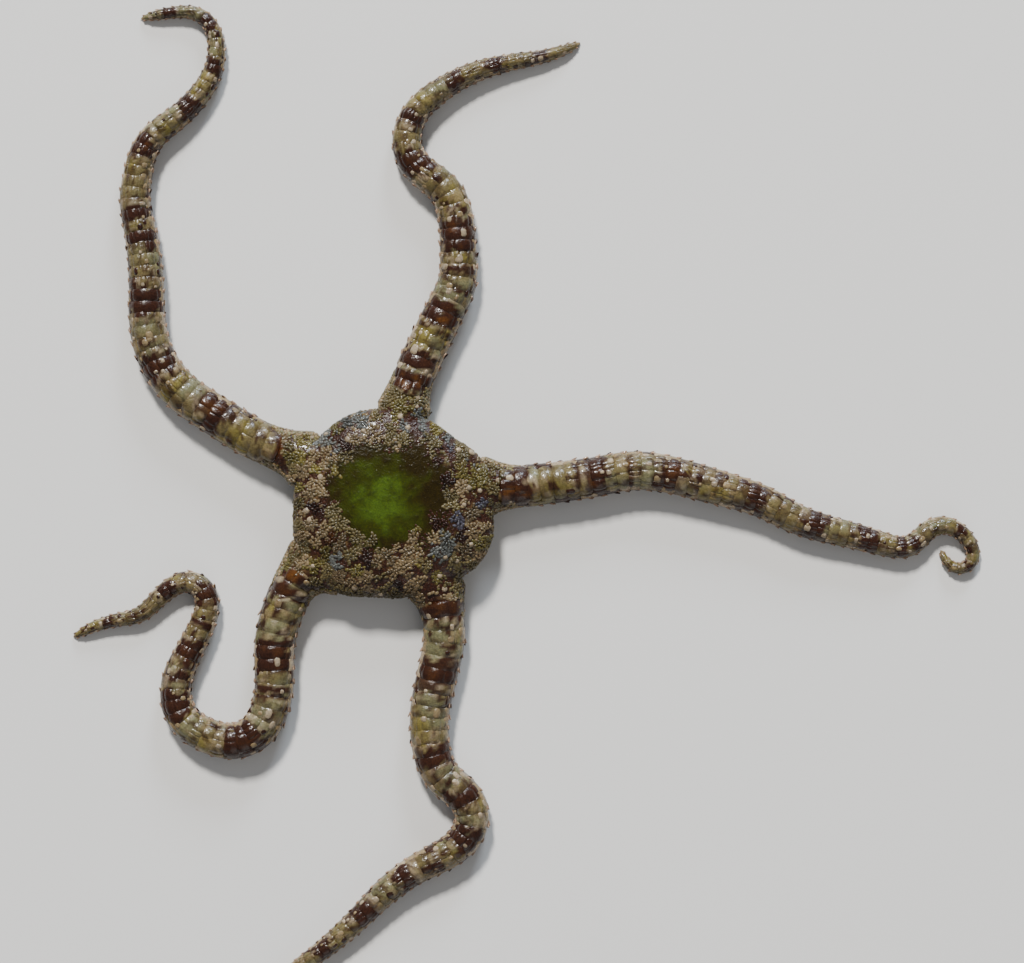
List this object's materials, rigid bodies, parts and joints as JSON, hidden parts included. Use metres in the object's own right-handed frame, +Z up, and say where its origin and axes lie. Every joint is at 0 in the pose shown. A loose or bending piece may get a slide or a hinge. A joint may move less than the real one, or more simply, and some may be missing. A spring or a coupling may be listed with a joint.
{
  "type": "brittle star",
  "caption": "Small brittle star with a rounded granular disc and slender, bent, banded arms, resting flat on its underside.",
  "frame": {"origin": "middle of the animal's footprint, on the floor that it rests on", "axes": "+Z up out of the back of the disc, +Y towards the arms a and b, +X towards the arm c"},
  "size_m": [0.0512, 0.0582, 0.0031],
  "materials": {
    "disc_skin": "wet granular skin, olive and cream mottled with dark brown, green in the middle",
    "arm_plates": "wet overlapping plates, olive and cream with dark brown bands",
    "jaw_plates": "pale, damp, finely grained plates",
    "oral_shields": "pale, damp, smooth plates"
  },
  "bodies": {
    "root": {"disc": "disc_skin", "arm_a_1": "arm_plates", "arm_a_2": "arm_plates", "arm_a_3": "arm_plates", "arm_a_4": "arm_plates", "arm_a_5": "arm_plates", "arm_b_1": "arm_plates", "arm_b_2": "arm_plates", "arm_b_3": "arm_plates", "arm_b_4": "arm_plates", "arm_b_5": "arm_plates", "arm_c_1": "arm_plates", "arm_c_2": "arm_plates", "arm_c_3": "arm_plates", "arm_c_4": "arm_plates", "arm_c_5": "arm_plates", "arm_d_1": "arm_plates", "arm_d_2": "arm_plates", "arm_d_3": "arm_plates", "arm_d_4": "arm_plates", "arm_d_5": "arm_plates", "arm_e_1": "arm_plates", "arm_e_2": "arm_plates", "arm_e_3": "arm_plates", "arm_e_4": "arm_plates", "arm_e_5": "arm_plates", "jaw_ab": "jaw_plates", "jaw_bc": "jaw_plates", "jaw_cd": "jaw_plates", "jaw_de": "jaw_plates", "jaw_ea": "jaw_plates", "oral_shield_ab": "oral_shields", "oral_shield_bc": "oral_shields", "oral_shield_cd": "oral_shields", "oral_shield_de": "oral_shields", "oral_shield_ea": "oral_shields"}
  },
  "joints": []
}
